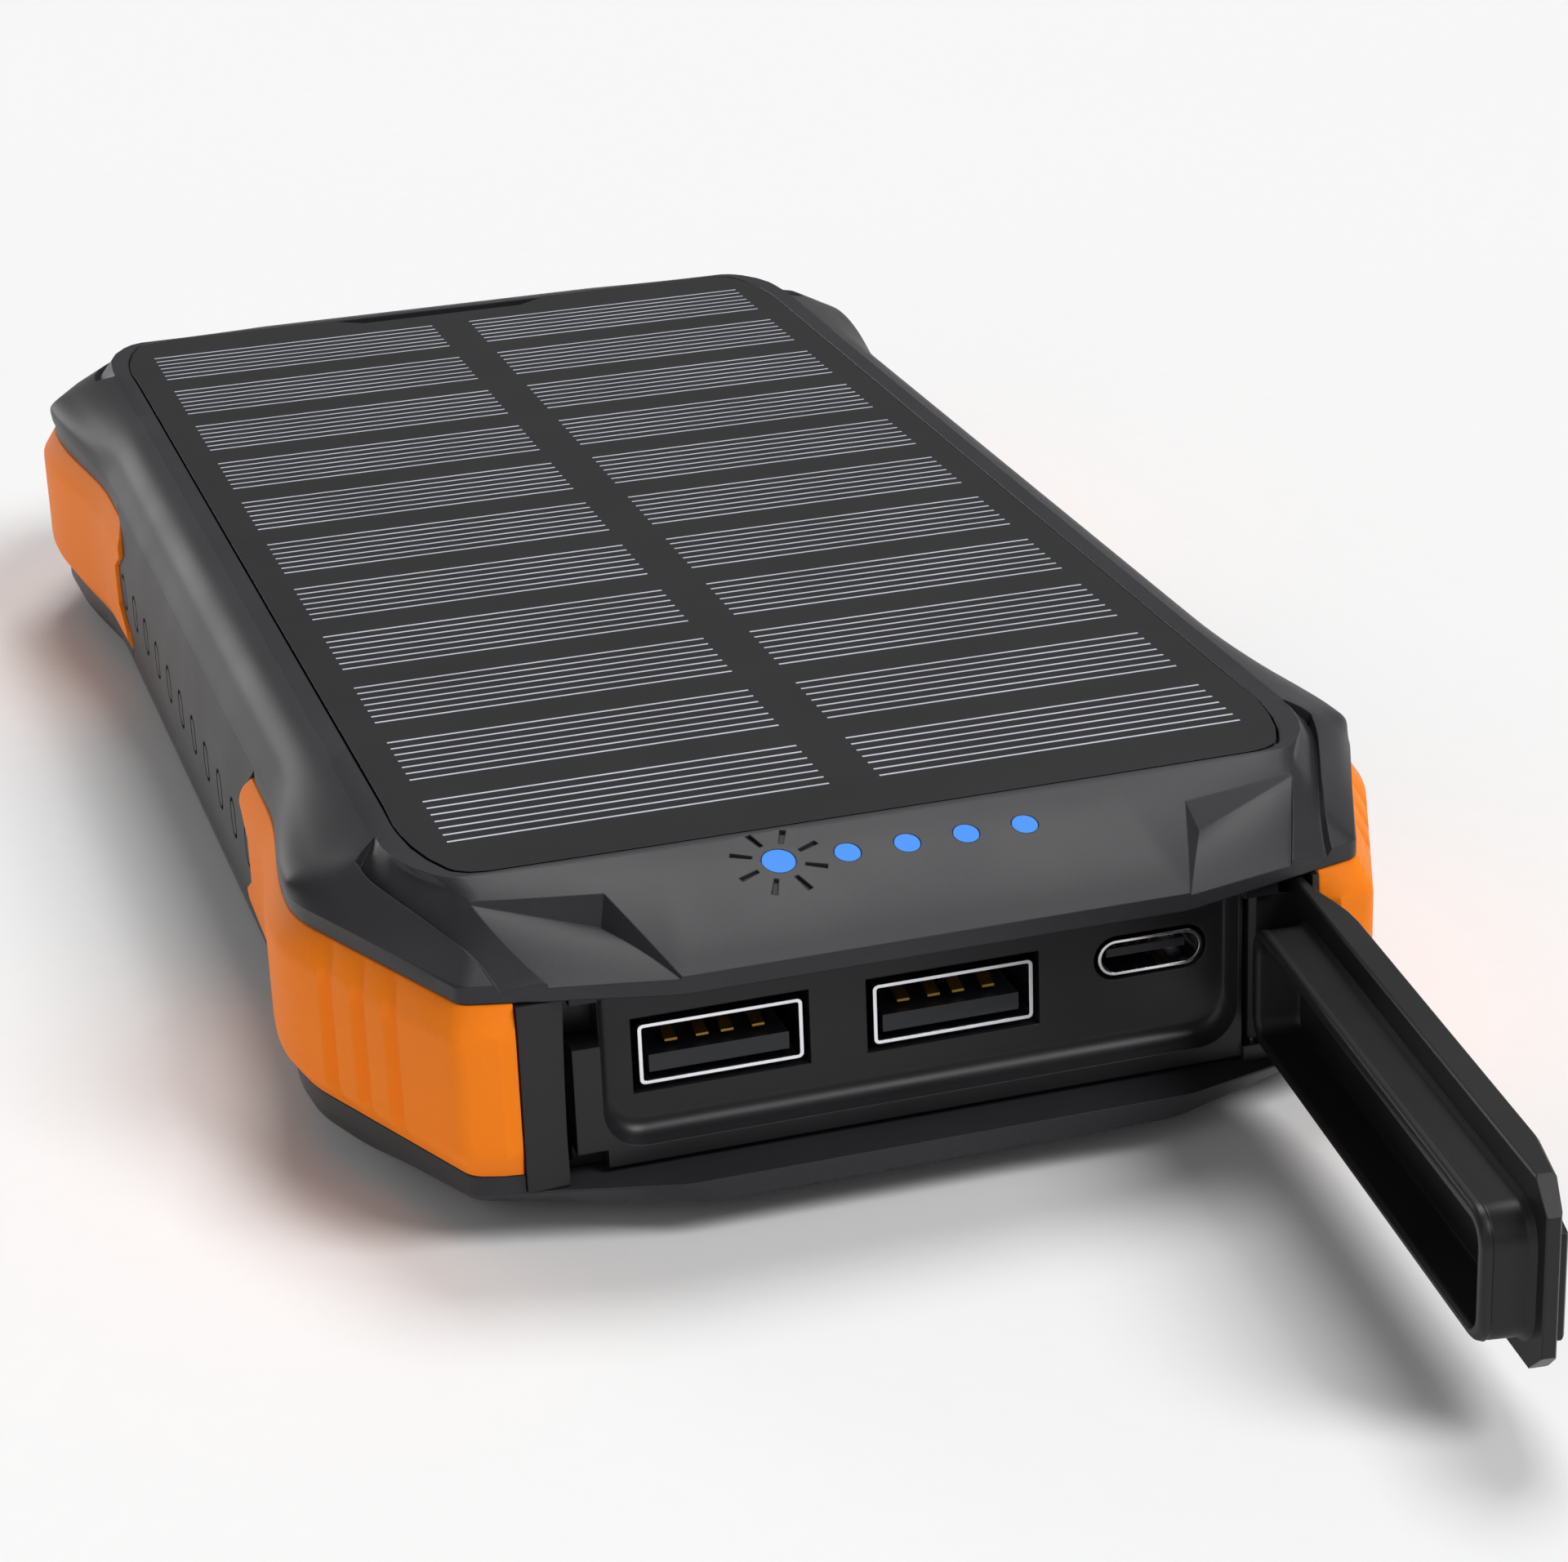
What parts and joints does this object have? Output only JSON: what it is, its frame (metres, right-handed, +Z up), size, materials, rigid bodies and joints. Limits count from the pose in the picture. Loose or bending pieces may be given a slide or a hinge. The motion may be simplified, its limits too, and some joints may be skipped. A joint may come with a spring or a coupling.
{
  "type": "solar phone charger",
  "caption": "Rugged slab power bank with a solar panel on top, orange rubber corner bumpers and charging sockets behind a hinged rubber port cover.",
  "frame": {"origin": "centre of the flat underside", "axes": "+Y from the socket end to the far end, +X to the right seen from the socket end, +Z up through the solar panel"},
  "size_m": [0.0926, 0.2331, 0.027],
  "materials": {
    "body_plastic": "fine grain",
    "frame_plastic": "fine grain",
    "grip_plastic": "fine grain",
    "orange_rubber": "satin",
    "port_plastic": "satin",
    "black_rubber": "matte",
    "steel": "satin",
    "dark_steel": "blackened",
    "plated_steel": "bright nickel plate",
    "laminate": "fine texture",
    "silicon": "dark blue grey",
    "silver_lines": "printed silver",
    "adhesive": "foam tape",
    "clear_light": "frosted",
    "blue_light": "frosted, lit",
    "led_white": "satin",
    "board_green": "solder mask",
    "tongue_plastic": "satin",
    "gold": "plated",
    "ferrite": "sintered",
    "can_aluminium": "satin",
    "chip_black": "moulded",
    "pouch_foil": "laminated foil",
    "tape": "tape",
    "foam": "foam",
    "nickel": "strip",
    "copper": "bare strip",
    "switch_black": "moulded",
    "polyimide": "film"
  },
  "bodies": {
    "housing": {"top_shell": "body_plastic", "bottom_shell": "body_plastic", "mid_frame": "frame_plastic", "side_grip_left": "grip_plastic", "side_grip_right": "grip_plastic", "bumper_front_left": "orange_rubber", "bumper_front_right": "orange_rubber", "bumper_rear_left": "orange_rubber", "bumper_rear_right": "orange_rubber", "port_frame": "port_plastic", "hinge_pin": "steel", "solar_laminate": "laminate", "solar_cells": "silicon", "cell_fingers": "silver_lines", "panel_adhesive": "adhesive", "sun_light_pipe": "clear_light", "charge_light_pipes": "blue_light", "indicator_leds": "led_white", "main_pcb": "board_green", "usb_a_shells": "plated_steel", "usb_a_tongues": "tongue_plastic", "usb_a_contacts": "gold", "usb_c_shell": "plated_steel", "usb_c_tongue": "tongue_plastic", "usb_c_contacts": "gold", "power_inductors": "ferrite", "filter_capacitors": "can_aluminium", "controller_chips": "chip_black", "battery_cell_lower": "pouch_foil", "battery_cell_upper": "pouch_foil", "battery_tape": "tape", "battery_foam": "foam", "battery_tabs": "nickel", "protection_board": "board_green", "solar_leads": "copper", "case_screws": "dark_steel", "pcb_screws": "steel", "tact_switch": "switch_black", "button_board": "board_green", "button_flat_cable": "polyimide"},
    "port_cover": {"port_cover": "black_rubber"},
    "power_button": {"power_button": "grip_plastic"}
  },
  "joints": [
    {"name": "port_cover_hinge", "type": "hinge", "parent": "housing", "child": "port_cover", "pos_m": [0.0276, -0.087, 0.0128], "axis": [0, 0, 1], "range_deg": [-84.2, 10]},
    {"name": "power_button_press", "type": "slide", "parent": "housing", "child": "power_button", "axis": [-1, 0, 0], "range_m": [0, 0.0005], "stiffness_N_per_m": 1500, "springref_m": -0.0004}
  ]
}
